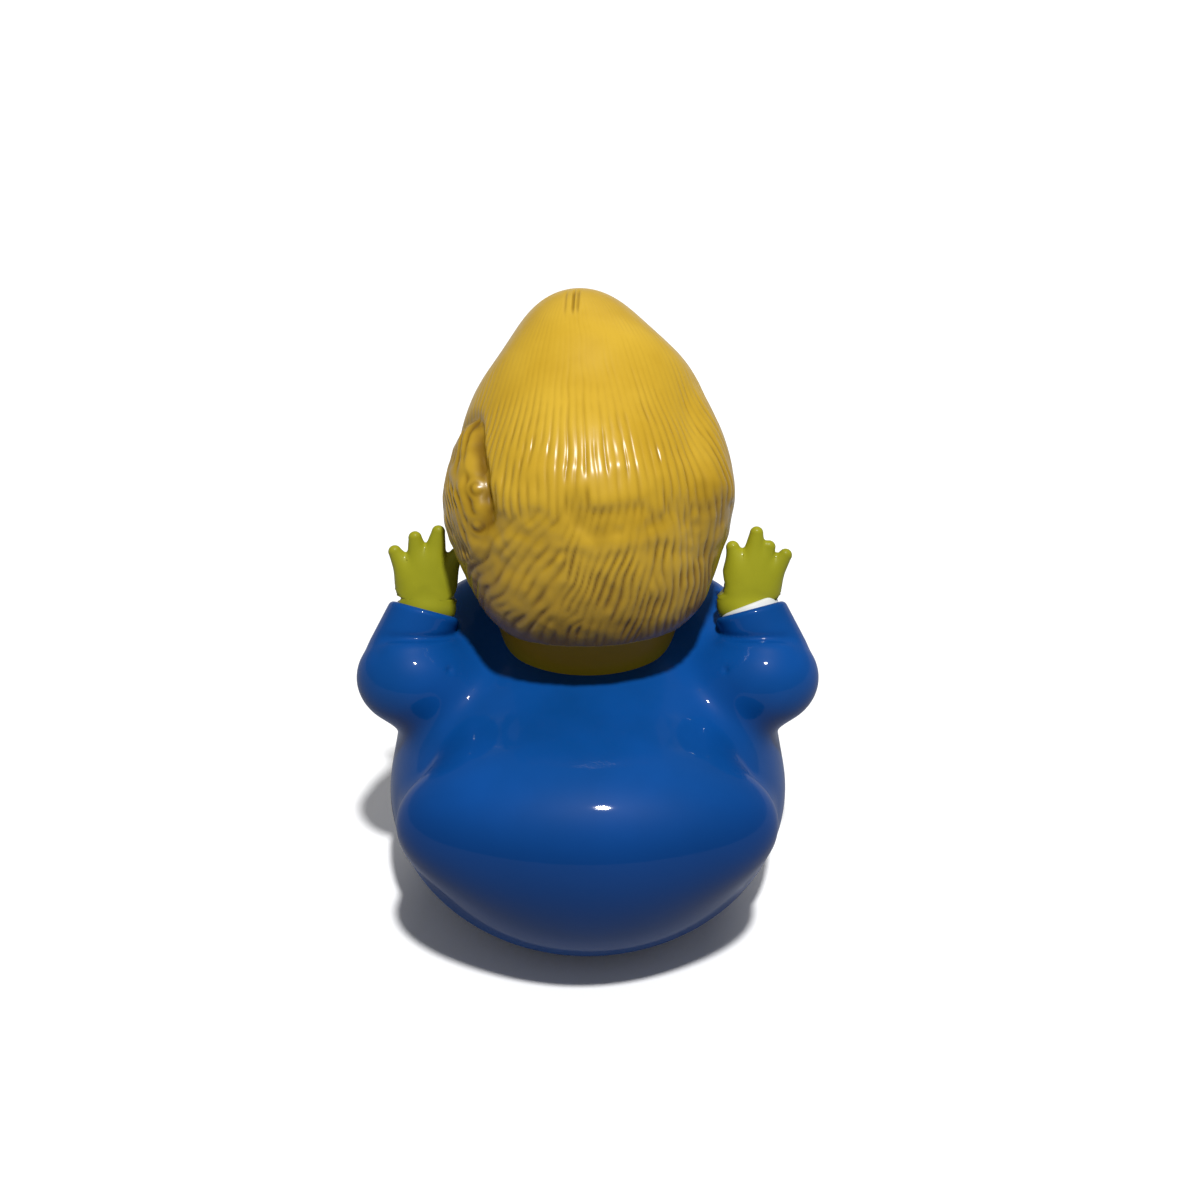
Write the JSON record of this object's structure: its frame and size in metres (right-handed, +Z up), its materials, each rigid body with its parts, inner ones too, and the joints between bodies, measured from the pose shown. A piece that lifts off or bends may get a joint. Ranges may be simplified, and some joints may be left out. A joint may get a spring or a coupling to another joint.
{
  "type": "rubber duck",
  "caption": "Small hollow rubber duck with swept-back golden hair, in a blue jacket with both hands raised, resting on its flat base.",
  "frame": {"origin": "on the flat of the base, under the front half of the body, midway between the two sides", "axes": "+Z up, -Y the way the duck faces, +X towards the duck's left"},
  "size_m": [0.0814, 0.0918, 0.106],
  "materials": {
    "jacket_vinyl": "glossy blue painted soft vinyl",
    "hair_paint": "golden yellow paint with a satin gloss",
    "skin_vinyl": "bare yellow-green vinyl, satin gloss",
    "bill_paint": "orange gloss paint",
    "white_paint": "white gloss paint",
    "black_paint": "black gloss paint"
  },
  "bodies": {
    "root": {"duck": "jacket_vinyl"}
  },
  "joints": []
}
